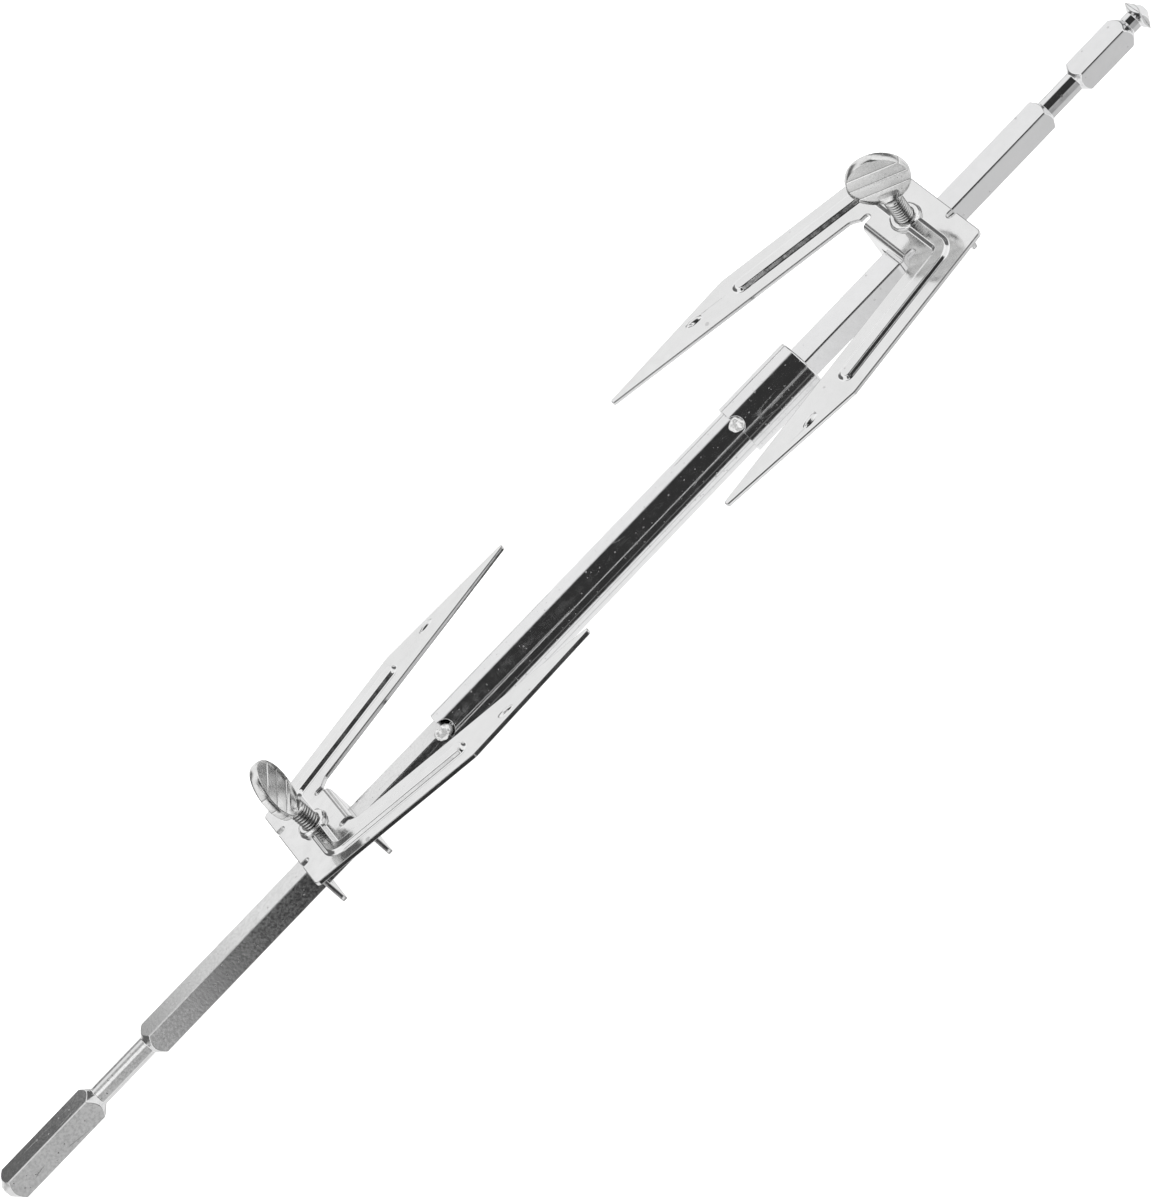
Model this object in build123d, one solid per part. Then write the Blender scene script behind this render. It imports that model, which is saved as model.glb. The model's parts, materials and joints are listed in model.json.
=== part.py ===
from build123d import *
import os
from math import cos, radians, sin, tan

# A telescoping rotisserie spit with two clamp-on forks, in millimetres.
# The rod lies along X. The origin is the centre of the drive tip's flat end, and +Z is up.
# The drive bar is welded into a round tube, in which the sliding bar runs against a spring.

# Square bars
DRIVE_ACROSS = 8.4      # across the flats of the drive bar
SLIDE_ACROSS = 7.8      # across the flats of the sliding bar
BAR_EDGE = 0.5          # rolled edges of both bars
CLEAR_RADIUS = 6.4      # a turned envelope this wide cuts nothing from either bar
NECK_RADIUS = 3.18      # turned necks of both bars
DRIVE_TURN = -16.0      # the drive bar's turn about X from the sliding bar, in degrees

# Stations along the rod
TIP_FLAT_RADIUS = 2.1
DRIVE_NECK = (38.4, 59.1)
DRIVE_BAR_END = 202.0
TUBE = (184.4, 325.5)
COLLAR = (306.2, 333.1)
SLIDE_NECK = (434.5, 446.4)
BUTTON_NECK = (468.5, 471.3)
BUTTON_NECK_RADIUS = 2.9
ROD_END = 475.8
BUTTON_FLAT_RADIUS = 1.4

# Tube, collar and what they hide
TUBE_RADIUS = 7.3
TUBE_BORE = 5.9
COLLAR_RADIUS = 8.5
COLLAR_BORE = 7.36
COLLAR_LIP = 0.9
COLLAR_LIP_BORE = 6.3
BUSH_LENGTH = 6.4
BUSH_SQUARE = 8.0
NOTCH_RADIUS = 3.1
NOTCH_TURN = 32.0       # where both weld notches face, about X from +Z, in degrees
SLEEVE_LENGTH = 28.0
SLEEVE_RADIUS = 5.75
SPIGOT_RADIUS = 3.1
RIVET_RADIUS = 3.9
RIVET_LENGTH = 1.2
STOP_GAP = 0.1          # play at the stop and at both ends of the spring
WIRE_RADIUS = 0.55
COIL_RADIUS = 4.8
SPRING_PITCH = 5.0

# Fork, in its own frame: the bar runs along X, the back tab's outer face is at X = 0
SHEET = 1.5
PLATE_TOP = 11.2        # height of the plate's top above the bar's centre
BASE_DEPTH = 20.4
BASE_HALF = 24.3        # half the base's width at the back
FRONT_EDGE = 18.8
ROOT = (21.5, 14.7)     # where a prong's inner edge starts
PRONG_ANGLE = 9.9       # each prong's outward slope, in degrees
OUTER_LENGTH = 59.6     # back corner to kink
INNER_LENGTH = 86.6     # root to point
POINT_WIDTH = 1.7
TAB_HALF = 10.2
TAB_BOTTOM = -9.4
TAB_HOLE = 9.0
BEND_INSIDE = 0.6
RELIEF_WIDTH = 2.2
RIB_WIDTH = 5.0
RIB_CREST = 3.2
RIB_HEIGHT = 1.1
RIB_CORNER = 4.2
RIB_REACH = 56.0        # how far along X the ribs run
DIMPLE_AT = 73.0
DIMPLE = (3.4, 1.3)     # half length and half width
RING_RADIUS = 4.8
RING_HEIGHT = 1.5
SCREW_HOLE_RADIUS = 3.0

# Where the forks stand on the rod
DRIVE_FORK_BACK = 128.6
HANDLE_FORK_BACK = 392.9
DRIVE_SPLAY = 2.8       # the drive fork's prongs are bent open by this many degrees
HANDLE_CANT = 2.4       # the handle fork leans this far in its clearance, in degrees

# Thumbscrew, in its own frame: the shank runs up Z, its tip at Z = 0
SHANK_RADIUS = 2.95
DRIVE_SCREW_LIFT = 0.2   # between the tip and the bar's flat: done up
HANDLE_SCREW_LIFT = 2.8  # backed off, so its fork hangs loose and leans
HEAD_RADIUS = 9.6
HEAD_HEIGHT = 24.0      # tip to the head's centre
HEAD_THICK = 3.2
HEAD_DISH = 0.55
HEAD_RIM = 1.0
HEAD_GROOVES = (-4.6, -0.4, 3.8)
DRIVE_HEAD_TURN = 68.0
HANDLE_HEAD_TURN = -31.0


def solid_of_revolution(points):
    """Turn a closed outline of (x, radius) points about X."""
    return revolve(make_face(Polyline(*points, close=True)), Axis.X)


def tube_solid(start, end, outer, inner):
    """A plain tube along X."""
    return solid_of_revolution([(start, inner), (start, outer), (end, outer), (end, inner)])


def square_prism(start, end, across, edge):
    """A square bar along X with rounded long edges."""
    bar = Pos((start + end) / 2, 0, 0) * Box(end - start, across, across)
    return fillet(bar.edges().filter_by(Axis.X), edge)


def neck(start, end, radius, before, after):
    """Envelope points of a turned neck; before and after are its cones' length per unit of depth."""
    depth = CLEAR_RADIUS - radius
    return [
        (start - before * depth, CLEAR_RADIUS),
        (start, radius),
        (end, radius),
        (end + after * depth, CLEAR_RADIUS),
    ]


def turned_bar(across, start, end, envelope):
    """A square bar cut back in the lathe to the envelope."""
    return square_prism(start, end, across, BAR_EDGE) & solid_of_revolution(envelope)


def make_drive_bar():
    """Square bar with a coned drive tip and a neck, its inner end inside the tube."""
    tip_cone = 0.9 * (CLEAR_RADIUS - TIP_FLAT_RADIUS)
    envelope = [(0, 0), (0, TIP_FLAT_RADIUS), (tip_cone, CLEAR_RADIUS)]
    envelope += neck(*DRIVE_NECK, NECK_RADIUS, 1.12, 1.05)
    envelope += [(DRIVE_BAR_END - 0.9, CLEAR_RADIUS), (DRIVE_BAR_END, CLEAR_RADIUS - 1.4), (DRIVE_BAR_END, 0)]
    bar = turned_bar(DRIVE_ACROSS, 0, DRIVE_BAR_END, envelope)
    return Rot(DRIVE_TURN, 0, 0) * bar


def make_slide_bar():
    """Square bar with a riveted spigot inside the tube and a coned button at its free end."""
    shoulder = COLLAR[1] - COLLAR_LIP - BUSH_LENGTH - STOP_GAP
    sleeve_start = shoulder - SLEEVE_LENGTH
    rivet_start = sleeve_start - RIVET_LENGTH
    envelope = [(rivet_start, 0), (rivet_start, RIVET_RADIUS - 0.5), (rivet_start + 0.5, RIVET_RADIUS)]
    envelope += [(sleeve_start, RIVET_RADIUS), (sleeve_start, SPIGOT_RADIUS)]
    envelope += [(shoulder, SPIGOT_RADIUS), (shoulder, CLEAR_RADIUS)]
    envelope += neck(*SLIDE_NECK, NECK_RADIUS, 0.7, 0.95)
    envelope += neck(*BUTTON_NECK, BUTTON_NECK_RADIUS, 1.1, 0.6)[:3]
    envelope += [(BUTTON_NECK[1] + 1.6, SLIDE_ACROSS * 0.68), (ROD_END, BUTTON_FLAT_RADIUS), (ROD_END, 0)]
    return turned_bar(SLIDE_ACROSS, rivet_start, ROD_END, envelope)


def notch_cutter(station, offset):
    """A cutter for a half-round weld notch in a tube's end, seen along its radius."""
    cutter = Pos(station + offset, 0, TUBE_RADIUS) * Cylinder(NOTCH_RADIUS, TUBE_RADIUS)
    return Rot(NOTCH_TURN, 0, 0) * cutter


def make_extension_tube():
    """Round tube with a weld notch at the drive end."""
    return tube_solid(*TUBE, TUBE_RADIUS, TUBE_BORE) - notch_cutter(TUBE[0], 0.3)


def make_collar():
    """Sleeve over the tube's end, its outer edge rolled in over the bush."""
    start, end = COLLAR
    outline = [
        (start, COLLAR_BORE),
        (start, COLLAR_RADIUS),
        (end, COLLAR_RADIUS),
        (end, COLLAR_LIP_BORE),
        (end - COLLAR_LIP, COLLAR_LIP_BORE),
        (end - COLLAR_LIP, COLLAR_BORE),
    ]
    sleeve = solid_of_revolution(outline)
    rolled = sleeve.edges().filter_by(GeomType.CIRCLE).filter_by(
        lambda edge: abs(edge.center().X - end) < 0.01 and edge.radius > COLLAR_BORE
    )
    return fillet(rolled, 0.8) - notch_cutter(start, -0.6)


def make_weld(start, end, foot, crown, width, neighbours):
    """A tack weld in a notch: a long rounded plug from foot to crown, cut to lie against what it joins."""
    outline = SlotOverall(end - start, width)
    plug = extrude(Pos((start + end) / 2, 0, foot) * outline, crown - foot)
    plug = fillet(plug.edges().group_by(Axis.Z)[-1], 0.45 * (crown - foot))
    placed = Rot(NOTCH_TURN, 0, 0) * plug
    for piece in neighbours:
        placed = placed - piece
    return placed.solids().sort_by(SortBy.VOLUME)[-1]


def make_guide_bush():
    """Bush held behind the collar's rolled edge; its square hole guides the sliding bar."""
    end = COLLAR[1] - COLLAR_LIP
    start = end - BUSH_LENGTH
    body = solid_of_revolution([(start, 0), (start, COLLAR_BORE), (end, COLLAR_BORE), (end, 0)])
    return body - square_prism(start - 1, end + 1, BUSH_SQUARE, BAR_EDGE)


def make_stop_sleeve():
    """Sleeve riveted on the sliding bar's spigot: it runs in the tube and stops on the bush."""
    end = COLLAR[1] - COLLAR_LIP - BUSH_LENGTH - STOP_GAP
    sleeve = tube_solid(end - SLEEVE_LENGTH, end, SLEEVE_RADIUS, SPIGOT_RADIUS)
    rims = sleeve.edges().filter_by(GeomType.CIRCLE).filter_by(lambda edge: edge.radius > SLEEVE_RADIUS - 0.1)
    return chamfer(rims, 0.4)


def make_return_spring():
    """Compression spring between the drive bar's end and the stop sleeve."""
    start = DRIVE_BAR_END + STOP_GAP + WIRE_RADIUS
    end = COLLAR[1] - COLLAR_LIP - BUSH_LENGTH - SLEEVE_LENGTH - 2 * STOP_GAP - WIRE_RADIUS
    turns = round((end - start) / SPRING_PITCH)
    coil = Helix(pitch=(end - start) / turns, height=end - start, radius=COIL_RADIUS)
    section = Plane(origin=coil @ 0, z_dir=coil % 0) * Circle(WIRE_RADIUS)
    return Pos(start, 0, 0) * Rot(0, 90, 0) * sweep(section, path=coil, is_frenet=True)


def prong_points(splay):
    """Half the fork's outline on its +Y side, from the middle of the back to the middle of the front."""
    slope = radians(PRONG_ANGLE + splay)
    kink = (OUTER_LENGTH * cos(slope), BASE_HALF + OUTER_LENGTH * sin(slope))
    inner_tip = (ROOT[0] + INNER_LENGTH * cos(slope), ROOT[1] + INNER_LENGTH * sin(slope))
    outer_tip = (inner_tip[0] - POINT_WIDTH * sin(slope), inner_tip[1] + POINT_WIDTH * cos(slope))
    return [(0, 0), (0, BASE_HALF), kink, outer_tip, inner_tip, ROOT, (FRONT_EDGE, 12.5), (FRONT_EDGE, 0)]


def plate_half(splay):
    """The flat sheet of one prong and half the base, with its corners rounded."""
    points = prong_points(splay)
    half = make_face(Polyline(*points, close=True))
    radii = {1: 1.6, 2: 4.0, 3: 0.8, 4: 0.8, 5: 2.6, 6: 2.0}
    for index, radius in radii.items():
        corner = half.vertices().sort_by_distance(Vector(*points[index]))[0]
        half = fillet(corner, radius)
    return half


def make_plate(splay):
    """Both halves of the flat sheet, with relief notches beside the tabs."""
    half = plate_half(splay)
    flat = half + mirror(half, Plane.XZ)
    for side in (-1, 1):
        place = side * (TAB_HALF + RELIEF_WIDTH / 2)
        for edge in (0, FRONT_EDGE):
            flat -= Pos(edge, place) * SlotOverall(2 * RELIEF_WIDTH + 1.2, RELIEF_WIDTH)
    return extrude(Pos(0, 0, PLATE_TOP - SHEET) * flat, SHEET)


def make_tab(at_front):
    """One tab: bent down from the plate with a rounded fold, square-holed for the bar."""
    outer = BEND_INSIDE + SHEET
    depth = BASE_DEPTH / 2
    with BuildPart() as tab:
        with BuildSketch(Plane.XZ):
            with BuildLine():
                Polyline((depth, PLATE_TOP), (outer, PLATE_TOP))
                RadiusArc((outer, PLATE_TOP), (0, PLATE_TOP - outer), -outer)
                Polyline((0, PLATE_TOP - outer), (0, TAB_BOTTOM), (SHEET, TAB_BOTTOM), (SHEET, PLATE_TOP - outer))
                RadiusArc((SHEET, PLATE_TOP - outer), (outer, PLATE_TOP - SHEET), BEND_INSIDE)
                Polyline((outer, PLATE_TOP - SHEET), (depth, PLATE_TOP - SHEET), (depth, PLATE_TOP))
            make_face()
        extrude(amount=TAB_HALF, both=True)
        low = tab.edges().filter_by(Axis.X).group_by(Axis.Z)[0]
        fillet(low, 3.0)
        with BuildSketch(Plane.YZ):
            RectangleRounded(TAB_HOLE, TAB_HOLE, 0.7)
        extrude(amount=2 * SHEET, mode=Mode.SUBTRACT)
    if at_front:
        return Pos(BASE_DEPTH, 0, 0) * Rot(0, 0, 180) * tab.part
    return tab.part


def rib_section(base_z):
    """The pressed rib's section across its path: a low flat-topped ridge."""
    half_foot = RIB_WIDTH / 2
    half_crest = RIB_CREST / 2
    return [(-half_foot, base_z), (-half_crest, base_z + RIB_HEIGHT), (half_crest, base_z + RIB_HEIGHT), (half_foot, base_z)]


def make_rib(splay, base_z):
    """The U-shaped ridge that runs from one prong through the base to the other."""
    slope = radians(PRONG_ANGLE + splay)
    lane = (BASE_HALF + ROOT[1] - ROOT[0] * tan(slope)) / 2
    cross = BASE_DEPTH / 2
    far = (RIB_REACH, lane + RIB_REACH * tan(slope))
    near = (cross, lane + cross * tan(slope))
    route = FilletPolyline(
        (far[0], far[1], 0), (near[0], near[1], 0), (near[0], -near[1], 0), (far[0], -far[1], 0), radius=RIB_CORNER
    )
    across_start = Plane(origin=route @ 0, x_dir=Vector(0, 0, 1).cross(route % 0), z_dir=route % 0)
    ridge = sweep(across_start * make_face(Polyline(*rib_section(base_z), close=True)), path=route)
    cone = Cone(RIB_WIDTH / 2, RIB_CREST / 2, RIB_HEIGHT, align=(Align.CENTER, Align.CENTER, Align.MIN))
    for side in (1, -1):
        ridge = ridge + Pos(far[0], side * far[1], base_z) * cone
    return ridge


def make_dimple(splay, side):
    """A small long hump pressed up near a prong's point."""
    slope = PRONG_ANGLE + splay
    lane = (BASE_HALF + ROOT[1] - ROOT[0] * tan(radians(slope))) / 2
    length, width = DIMPLE
    with BuildPart() as hump:
        with BuildSketch(Plane.XY):
            Ellipse(length, width)
            Rectangle(2 * length, width, align=(Align.CENTER, Align.MAX), mode=Mode.SUBTRACT)
        revolve(axis=Axis.X)
    place = Pos(DIMPLE_AT, side * (lane + DIMPLE_AT * tan(radians(slope))), PLATE_TOP - 0.7)
    return place * Rot(0, 0, side * slope) * hump.part


def make_fork(splay):
    """The whole fork as one pressed and folded sheet, flat plate uppermost."""
    sheet = make_plate(splay)
    sheet = sheet + make_tab(False) + make_tab(True)
    sheet = sheet + make_rib(splay, PLATE_TOP)
    sheet = sheet - make_rib(splay, PLATE_TOP - SHEET)
    for side in (-1, 1):
        sheet = sheet + make_dimple(splay, side)
    ring = Pos(BASE_DEPTH / 2, 0, PLATE_TOP - SHEET) * Cylinder(
        RING_RADIUS, SHEET + RING_HEIGHT, align=(Align.CENTER, Align.CENTER, Align.MIN)
    )
    hole = Pos(BASE_DEPTH / 2, 0, PLATE_TOP) * Cylinder(SCREW_HOLE_RADIUS, 4 * SHEET)
    return sheet + chamfer(ring.edges().group_by(Axis.Z)[-1], 0.5) - hole


def make_thumbscrew():
    """Shank and flat ribbed head of one piece, the head facing along Y."""
    shank = Cylinder(SHANK_RADIUS, HEAD_HEIGHT - HEAD_RADIUS + 3, align=(Align.CENTER, Align.CENTER, Align.MIN))
    shank = chamfer(shank.edges().group_by(Axis.Z)[0], 0.6)
    disc = Cylinder(HEAD_RADIUS, HEAD_THICK)
    disc = fillet(disc.edges().filter_by(GeomType.CIRCLE), 0.7)
    for side in (-1, 1):
        face = side * HEAD_THICK / 2
        disc -= Pos(0, 0, face) * Cylinder(HEAD_RADIUS - HEAD_RIM, 2 * HEAD_DISH)
        for height in HEAD_GROOVES:
            disc -= Pos(0, height, face - side * HEAD_DISH) * Box(1.9 * HEAD_RADIUS, 0.7, 0.5)
    head = Pos(0, 0, HEAD_HEIGHT) * Rot(90, 0, 0) * disc
    shoulder = Pos(0, 0, HEAD_HEIGHT - HEAD_RADIUS + 1.0) * Cone(SHANK_RADIUS, SHANK_RADIUS - 1.3, 5.0)
    return head + shank + shoulder


def place_on_rod(back, turn, cant, towards_handle):
    """Where a fork or its screw stands: along the rod, turned with its bar, leaning in its clearance."""
    middle = BASE_DEPTH / 2
    reach = 1 if towards_handle else -1
    facing = 0 if towards_handle else 180
    return Pos(back + reach * middle, 0, 0) * Rot(turn, 0, 0) * Rot(0, 0, facing) * Rot(0, -cant, 0) * Pos(-middle, 0, 0)


def place_screw(fork_place, bar_across, lift, head_turn):
    """The screw stands in its fork's hole, its tip lifted off the bar's flat."""
    return fork_place * Pos(BASE_DEPTH / 2, 0, bar_across / 2 + lift) * Rot(0, 0, head_turn)


def main():
    os.makedirs("parts", exist_ok=True)
    drive_bar = make_drive_bar()
    slide_bar = make_slide_bar()
    tube = make_extension_tube()
    collar = make_collar()
    drive_place = place_on_rod(DRIVE_FORK_BACK, DRIVE_TURN, 0, True)
    handle_place = place_on_rod(HANDLE_FORK_BACK, 0, HANDLE_CANT, False)
    screw = make_thumbscrew()
    nodes = {
        "drive_bar": drive_bar,
        "extension_tube": tube,
        "tube_weld": make_weld(180.9, 187.2, 4.2, TUBE_RADIUS + 0.3, 3.8, [drive_bar, tube]),
        "collar": collar,
        "collar_weld": make_weld(304.2, 308.7, 6.4, COLLAR_RADIUS + 0.3, 4.4, [tube, collar]),
        "guide_bush": make_guide_bush(),
        "return_spring": make_return_spring(),
        "slide_bar": slide_bar,
        "stop_sleeve": make_stop_sleeve(),
        "drive_fork": drive_place * make_fork(DRIVE_SPLAY),
        "handle_fork": handle_place * make_fork(0),
        "drive_thumbscrew": place_screw(drive_place, DRIVE_ACROSS, DRIVE_SCREW_LIFT, DRIVE_HEAD_TURN) * screw,
        "handle_thumbscrew": place_screw(handle_place, SLIDE_ACROSS, HANDLE_SCREW_LIFT, HANDLE_HEAD_TURN) * screw,
    }
    for name, solid in nodes.items():
        export_step(solid, f"parts/{name}.step")


main()
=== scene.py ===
"""Looks of a telescoping rotisserie spit: square bars, tube, collar, two forks and their thumbscrews."""

import json
import math

import bmesh
import bpy
from bpy.props import FloatProperty, FloatVectorProperty, IntProperty, PointerProperty
from mathutils import Matrix, Vector, noise
from mathutils.bvhtree import BVHTree


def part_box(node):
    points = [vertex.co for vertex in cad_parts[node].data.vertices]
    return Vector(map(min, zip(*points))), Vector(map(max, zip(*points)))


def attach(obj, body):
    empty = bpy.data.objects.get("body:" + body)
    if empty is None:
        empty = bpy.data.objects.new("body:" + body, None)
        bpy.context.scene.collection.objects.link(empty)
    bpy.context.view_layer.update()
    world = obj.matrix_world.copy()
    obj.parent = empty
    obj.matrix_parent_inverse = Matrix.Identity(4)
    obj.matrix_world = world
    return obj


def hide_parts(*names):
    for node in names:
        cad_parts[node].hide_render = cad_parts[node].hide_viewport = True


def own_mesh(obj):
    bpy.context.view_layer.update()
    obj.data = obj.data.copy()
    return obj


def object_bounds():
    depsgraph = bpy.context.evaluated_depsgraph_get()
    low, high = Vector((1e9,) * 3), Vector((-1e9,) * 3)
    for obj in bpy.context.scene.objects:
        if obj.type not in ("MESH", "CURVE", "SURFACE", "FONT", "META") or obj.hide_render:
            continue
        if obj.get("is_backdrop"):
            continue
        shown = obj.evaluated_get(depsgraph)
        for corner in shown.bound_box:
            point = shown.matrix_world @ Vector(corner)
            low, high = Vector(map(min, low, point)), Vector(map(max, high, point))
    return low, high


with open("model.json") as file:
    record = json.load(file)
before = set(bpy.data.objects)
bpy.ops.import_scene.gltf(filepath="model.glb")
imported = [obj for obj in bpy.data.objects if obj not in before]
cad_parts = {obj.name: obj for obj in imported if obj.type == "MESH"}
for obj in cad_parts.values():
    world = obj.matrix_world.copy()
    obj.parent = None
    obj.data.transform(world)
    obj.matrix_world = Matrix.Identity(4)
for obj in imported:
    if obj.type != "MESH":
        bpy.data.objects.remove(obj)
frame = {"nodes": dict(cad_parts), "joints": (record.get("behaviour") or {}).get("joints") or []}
CAD_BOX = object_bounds()

bl_info = {
    "name": "Rotisserie spit looks",
    "version": (1, 0, 0),
    "blender": (4, 5, 0),
    "location": "View3D > Sidebar > Spit",
    "description": "Builds the finished surfaces of a rotisserie spit around its fixed frame",
    "category": "Object",
}

MM = 0.001
WELD_TOGETHER = 2e-6    # vertices closer than this are one
CRUMB = 3e-5            # edges shorter than this only get in a bevel's way
FLAT_ANGLE = math.radians(0.4)
SOFT_ANGLE = math.radians(42)
STRAY = 0.65            # share of a bevel's width: a corner further off the old skin is put back
# layer of worn edges and painted highlights, read by the materials
WEAR_AND_HIGHLIGHT = "wear_and_highlight"
# layer of painted shade, read by the materials
PAINTED_SHADE = "painted_shade"


# ---------------------------------------------------------------- settings


class SpitFinishSettings(bpy.types.PropertyGroup):
    """Tones of the plated steels."""

    chrome_tone: FloatVectorProperty(
        name="Chrome tone", description="Plating on the tube, collar and sliding bar",
        default=(0.84, 0.84, 0.845), subtype="COLOR", min=0, max=1,
    )
    nickel_tone: FloatVectorProperty(
        name="Nickel tone", description="Satin plating on the drive bar",
        default=(0.80, 0.80, 0.80), subtype="COLOR", min=0, max=1,
    )
    sheet_tone: FloatVectorProperty(
        name="Sheet tone", description="Plating on both forks",
        default=(0.84, 0.84, 0.84), subtype="COLOR", min=0, max=1,
    )
    zinc_tone: FloatVectorProperty(
        name="Zinc tone", description="Plating on the thumbscrews",
        default=(0.86, 0.86, 0.855), subtype="COLOR", min=0, max=1,
    )
    weld_tone: FloatVectorProperty(
        name="Weld tone", description="Plated weld beads",
        default=(0.94, 0.94, 0.935), subtype="COLOR", min=0, max=1,
    )
    inner_tone: FloatVectorProperty(
        name="Inner steel tone", description="Oiled steel of the bush, sleeve and spring",
        default=(0.38, 0.38, 0.39), subtype="COLOR", min=0, max=1,
    )


class EdgeSettings(bpy.types.PropertyGroup):
    """How far cut and pressed edges are rounded."""

    sheet_edge: FloatProperty(
        name="Sheet edge", description="Rounding of the forks' sheared edges",
        default=0.3 * MM, unit="LENGTH", min=0,
    )
    rib_edge: FloatProperty(
        name="Rib edge", description="Rounding along the pressed ribs",
        default=0.35 * MM, unit="LENGTH", min=0,
    )
    turned_edge: FloatProperty(
        name="Turned edge", description="Rounding where the lathe cuts meet the bars' flats",
        default=0.15 * MM, unit="LENGTH", min=0,
    )


class ThumbscrewSettings(bpy.types.PropertyGroup):
    """Sizes of the two one-piece thumbscrews."""

    pitch: FloatProperty(
        name="Thread pitch", description="Rise for each turn", default=1.0 * MM, unit="LENGTH",
    )
    crest: FloatProperty(
        name="Crest radius", description="Outside of the thread", default=2.95 * MM, unit="LENGTH",
    )
    root: FloatProperty(
        name="Root radius", description="Bottom of the thread", default=2.3 * MM, unit="LENGTH",
    )
    turns: IntProperty(name="Thread turns", description="Turns from tip to shoulder", default=15, min=3)
    head_radius: FloatProperty(
        name="Head radius", description="Outside of the flat head", default=9.6 * MM, unit="LENGTH",
    )
    head_height: FloatProperty(
        name="Head height", description="Tip to head centre", default=24 * MM, unit="LENGTH",
    )
    head_thick: FloatProperty(
        name="Head thickness", description="Across the rim", default=3.2 * MM, unit="LENGTH",
    )
    dish: FloatProperty(
        name="Dish", description="Depth of the faces below the rim", default=0.7 * MM, unit="LENGTH",
    )
    rim: FloatProperty(
        name="Rim width", description="Width of the raised rim", default=0.55 * MM, unit="LENGTH",
    )
    band: FloatProperty(
        name="Band pitch", description="Spacing of the grip bands", default=4.2 * MM, unit="LENGTH",
    )
    band_step: FloatProperty(
        name="Band step", description="Rise at each band's edge", default=0.18 * MM, unit="LENGTH",
    )
    drive_turn: FloatProperty(
        name="Drive head turn", description="Which way the drive fork's head faces",
        default=math.radians(68), subtype="ANGLE",
    )
    handle_turn: FloatProperty(
        name="Handle head turn", description="Which way the other fork's head faces",
        default=math.radians(-31), subtype="ANGLE",
    )


class WeldSettings(bpy.types.PropertyGroup):
    """Shape of the tack welds."""

    lumps: FloatProperty(
        name="Lumps", description="Height of the bead's lumps", default=0.5 * MM, unit="LENGTH",
    )
    lump_size: FloatProperty(
        name="Lump size", description="Length of one lump", default=2.2 * MM, unit="LENGTH",
    )


class SpringSettings(bpy.types.PropertyGroup):
    """Sizes of the return spring."""

    wire: FloatProperty(
        name="Wire radius", description="Radius of the wire", default=0.55 * MM, unit="LENGTH",
    )
    coils: IntProperty(name="Coils", description="Turns of the spring", default=19, min=2)
    facets: IntProperty(name="Steps per coil", description="Sections in one turn", default=28, min=8)


class StageSettings(bpy.types.PropertyGroup):
    """Camera, floor and light."""

    elevation: FloatProperty(
        name="Elevation", description="Camera above the horizon",
        default=math.radians(46.5), subtype="ANGLE",
    )
    roll: FloatProperty(
        name="Roll", description="Camera turned about its own axis",
        default=math.radians(46.13), subtype="ANGLE",
    )
    distance: FloatProperty(
        name="Distance", description="Camera to the rod", default=1.275, unit="LENGTH",
    )
    lens: FloatProperty(
        name="Lens", description="Focal length in millimetres", default=131.97, unit="CAMERA",
    )
    floor_tone: FloatProperty(
        name="Floor tone", description="Paleness of the floor",
        default=0.92, min=0, max=1, subtype="FACTOR",
    )
    floor_glow: FloatProperty(
        name="Floor glow", description="Light the floor gives back evenly", default=0.8, min=0,
    )
    lamp_power: FloatProperty(
        name="Lamp power", description="Watts of the overhead softbox",
        default=9.0, min=0, unit="POWER",
    )
    wall_light: FloatProperty(
        name="Wall light", description="Brightness of the pale wall and ceiling", default=0.95, min=0,
    )


# ---------------------------------------------------------------- shader helpers


def wire(tree, kind, inputs=None, **settings):
    """Adds a shader node, sets it and links or fills its inputs."""
    made = tree.nodes.new(kind)
    for name, value in settings.items():
        setattr(made, name, value)
    for name, value in (inputs or {}).items():
        if isinstance(value, bpy.types.NodeSocket):
            tree.links.new(value, made.inputs[name])
        else:
            made.inputs[name].default_value = value
    return made


def calc(tree, operation, *values):
    return wire(tree, "ShaderNodeMath", dict(enumerate(values)), operation=operation).outputs[0]


def ramp(tree, value, low, high, out_low=0.0, out_high=1.0):
    """Value from low to high, smoothly turned into out_low to out_high."""
    limits = {"Value": value, "From Min": low, "From Max": high, "To Min": out_low, "To Max": out_high}
    return wire(tree, "ShaderNodeMapRange", limits, interpolation_type="SMOOTHSTEP").outputs[0]


def group_of(name, inputs, fill):
    """A shared shader group, built once: inputs are (label, socket type, default)."""
    if name in bpy.data.node_groups:
        return bpy.data.node_groups[name]
    group = bpy.data.node_groups.new(name, "ShaderNodeTree")
    for label, kind, default in inputs:
        socket = group.interface.new_socket(label, in_out="INPUT", socket_type=kind)
        if default is not None:
            socket.default_value = default
    group.interface.new_socket("Value", in_out="OUTPUT", socket_type="NodeSocketFloat")
    inside = group.nodes.new("NodeGroupInput")
    outside = group.nodes.new("NodeGroupOutput")
    group.links.new(fill(group, inside.outputs), outside.inputs["Value"])
    return group


def use_group(tree, group, **inputs):
    """Places a shared group in a material and returns what it puts out."""
    placed = wire(tree, "ShaderNodeGroup", node_tree=group)
    for label, value in inputs.items():
        if isinstance(value, bpy.types.NodeSocket):
            tree.links.new(value, placed.inputs[label])
        else:
            placed.inputs[label].default_value = value
    return placed.outputs["Value"]


def per_size(tree, size):
    """Texture scale for features of a size in millimetres."""
    return calc(tree, "DIVIDE", 1000.0, size)


def fill_clouds(tree, ins):
    """Soft patches that run from Low to High."""
    soft = wire(
        tree, "ShaderNodeTexNoise",
        {"Vector": ins["Position"], "Scale": per_size(tree, ins["Size"]), "Detail": 3.0},
    )
    limits = {
        "Value": soft.outputs[0], "From Min": 0.32, "From Max": 0.68,
        "To Min": ins["Low"], "To Max": ins["High"],
    }
    return wire(tree, "ShaderNodeMapRange", limits).outputs[0]


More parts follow.
